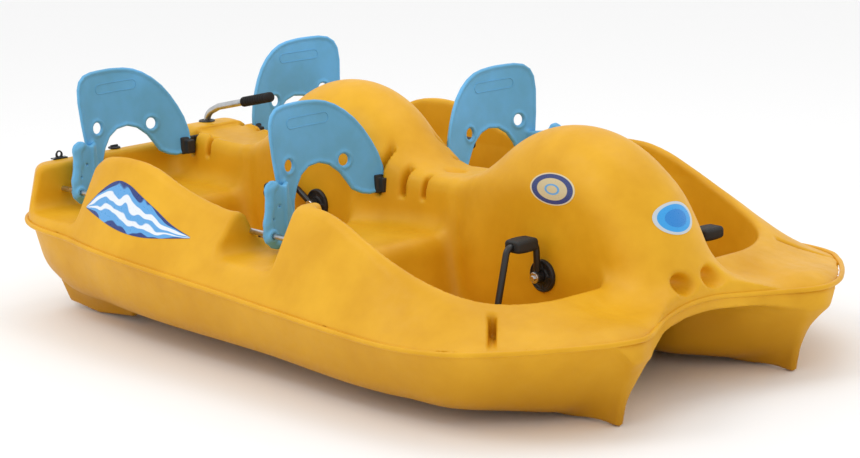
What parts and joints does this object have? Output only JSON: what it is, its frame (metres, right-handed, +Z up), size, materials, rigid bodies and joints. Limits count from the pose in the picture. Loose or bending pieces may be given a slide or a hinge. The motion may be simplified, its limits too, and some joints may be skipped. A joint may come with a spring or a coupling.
{
  "type": "pedal boat",
  "caption": "Pedal boat with a moulded pontoon hull, crank-driven paddle wheels under domes, seatbacks on side rods and a rudder steered by a tiller.",
  "frame": {"origin": "centreline at mid-length, level with the lowest points of the skegs", "axes": "+X to the bow, +Y to port, +Z up"},
  "size_m": [2.3603, 1.6, 0.7367],
  "materials": {
    "hull_yellow": "satin",
    "seat_blue": "satin",
    "black_plastic": "satin",
    "wheel_black": "matte",
    "black_rubber": "matte",
    "black_steel": "satin",
    "zinc_steel": "satin",
    "grip_foam": "matte",
    "sticker_vinyl": "gloss",
    "badge_blue": "gloss"
  },
  "bodies": {
    "boat": {"axle_bearing_front_port": "black_plastic", "axle_bearing_front_starboard": "black_plastic", "axle_bearing_rear_port": "black_plastic", "axle_bearing_rear_starboard": "black_plastic", "bow_badge": "badge_blue", "deck": "hull_yellow", "dome_stickers": "sticker_vinyl", "drain_plugs": "black_plastic", "hull_bottom": "hull_yellow", "mooring_eyes": "black_plastic", "mooring_screws": "zinc_steel", "rudder_tube": "black_plastic", "seat_rod_front_port": "zinc_steel", "seat_rod_front_starboard": "zinc_steel", "seat_rod_rear_port": "zinc_steel", "seat_rod_rear_starboard": "zinc_steel", "side_stickers": "sticker_vinyl", "tiller_bush_lower": "black_plastic", "tiller_bush_upper": "black_plastic"},
    "drive_front": {"axle_front": "zinc_steel", "paddle_wheel_front": "wheel_black", "crank_bolts_front": "zinc_steel", "crank_front_starboard": "black_steel", "pin_washer_front_starboard": "black_plastic", "crank_front_port": "black_steel", "pin_washer_front_port": "black_plastic"},
    "pedal_front_starboard_inner": {"pedal_front_starboard_inner": "black_plastic"},
    "pedal_front_starboard_outer": {"pedal_front_starboard_outer": "black_plastic"},
    "seat_front_starboard": {"seatback_front_starboard": "seat_blue", "seat_tab_front_starboard": "black_rubber"},
    "pedal_front_port_inner": {"pedal_front_port_inner": "black_plastic"},
    "pedal_front_port_outer": {"pedal_front_port_outer": "black_plastic"},
    "seat_front_port": {"seatback_front_port": "seat_blue", "seat_tab_front_port": "black_rubber"},
    "drive_rear": {"axle_rear": "zinc_steel", "paddle_wheel_rear": "wheel_black", "crank_bolts_rear": "zinc_steel", "crank_rear_starboard": "black_steel", "pin_washer_rear_starboard": "black_plastic", "crank_rear_port": "black_steel", "pin_washer_rear_port": "black_plastic"},
    "pedal_rear_starboard_inner": {"pedal_rear_starboard_inner": "black_plastic"},
    "pedal_rear_starboard_outer": {"pedal_rear_starboard_outer": "black_plastic"},
    "seat_rear_starboard": {"seatback_rear_starboard": "seat_blue", "seat_tab_rear_starboard": "black_rubber"},
    "pedal_rear_port_inner": {"pedal_rear_port_inner": "black_plastic"},
    "pedal_rear_port_outer": {"pedal_rear_port_outer": "black_plastic"},
    "seat_rear_port": {"seatback_rear_port": "seat_blue", "seat_tab_rear_port": "black_rubber"},
    "steering": {"tiller_tube": "zinc_steel", "tiller_grip": "grip_foam", "rudder": "black_plastic", "rudder_bolts": "zinc_steel"}
  },
  "joints": [
    {"name": "crank_spin_front", "type": "hinge", "parent": "boat", "child": "drive_front", "pos_m": [0.6, 0, 0.295], "axis": [0, 1, 0], "continuous": true},
    {"name": "spin_pedal_front_starboard_inner", "type": "hinge", "parent": "drive_front", "child": "pedal_front_starboard_inner", "pos_m": [0.59651, -0.2395, 0.39494], "axis": [0, 1, 0], "continuous": true},
    {"name": "spin_pedal_front_starboard_outer", "type": "hinge", "parent": "drive_front", "child": "pedal_front_starboard_outer", "pos_m": [0.60349, -0.4095, 0.19506], "axis": [0, 1, 0], "continuous": true},
    {"name": "lift_seat_front_starboard", "type": "hinge", "parent": "boat", "child": "seat_front_starboard", "pos_m": [-0.065, -0.575, 0.382], "axis": [1, 0, 0], "range_deg": [0, 85]},
    {"name": "spin_pedal_front_port_inner", "type": "hinge", "parent": "drive_front", "child": "pedal_front_port_inner", "pos_m": [0.50603, 0.2395, 0.2608], "axis": [0, 1, 0], "continuous": true},
    {"name": "spin_pedal_front_port_outer", "type": "hinge", "parent": "drive_front", "child": "pedal_front_port_outer", "pos_m": [0.69397, 0.4095, 0.3292], "axis": [0, 1, 0], "continuous": true},
    {"name": "lift_seat_front_port", "type": "hinge", "parent": "boat", "child": "seat_front_port", "pos_m": [-0.065, 0.575, 0.382], "axis": [-1, 0, 0], "range_deg": [0, 85]},
    {"name": "crank_spin_rear", "type": "hinge", "parent": "boat", "child": "drive_rear", "pos_m": [-0.345, 0, 0.365], "axis": [0, 1, 0], "continuous": true},
    {"name": "spin_pedal_rear_starboard_inner", "type": "hinge", "parent": "drive_rear", "child": "pedal_rear_starboard_inner", "pos_m": [-0.4316, -0.2395, 0.415], "axis": [0, 1, 0], "continuous": true},
    {"name": "spin_pedal_rear_starboard_outer", "type": "hinge", "parent": "drive_rear", "child": "pedal_rear_starboard_outer", "pos_m": [-0.2584, -0.4095, 0.315], "axis": [0, 1, 0], "continuous": true},
    {"name": "lift_seat_rear_starboard", "type": "hinge", "parent": "boat", "child": "seat_rear_starboard", "pos_m": [-0.985, -0.575, 0.382], "axis": [1, 0, 0], "range_deg": [0, 85]},
    {"name": "spin_pedal_rear_port_inner", "type": "hinge", "parent": "drive_rear", "child": "pedal_rear_port_inner", "pos_m": [-0.36579, 0.2395, 0.26719], "axis": [0, 1, 0], "continuous": true},
    {"name": "spin_pedal_rear_port_outer", "type": "hinge", "parent": "drive_rear", "child": "pedal_rear_port_outer", "pos_m": [-0.32421, 0.4095, 0.46281], "axis": [0, 1, 0], "continuous": true},
    {"name": "lift_seat_rear_port", "type": "hinge", "parent": "boat", "child": "seat_rear_port", "pos_m": [-0.985, 0.575, 0.382], "axis": [-1, 0, 0], "range_deg": [0, 85]},
    {"name": "tiller_steer", "type": "hinge", "parent": "boat", "child": "steering", "pos_m": [-1.078, 0, 0.3], "axis": [0, 0, 1], "range_deg": [-40, 40]}
  ]
}
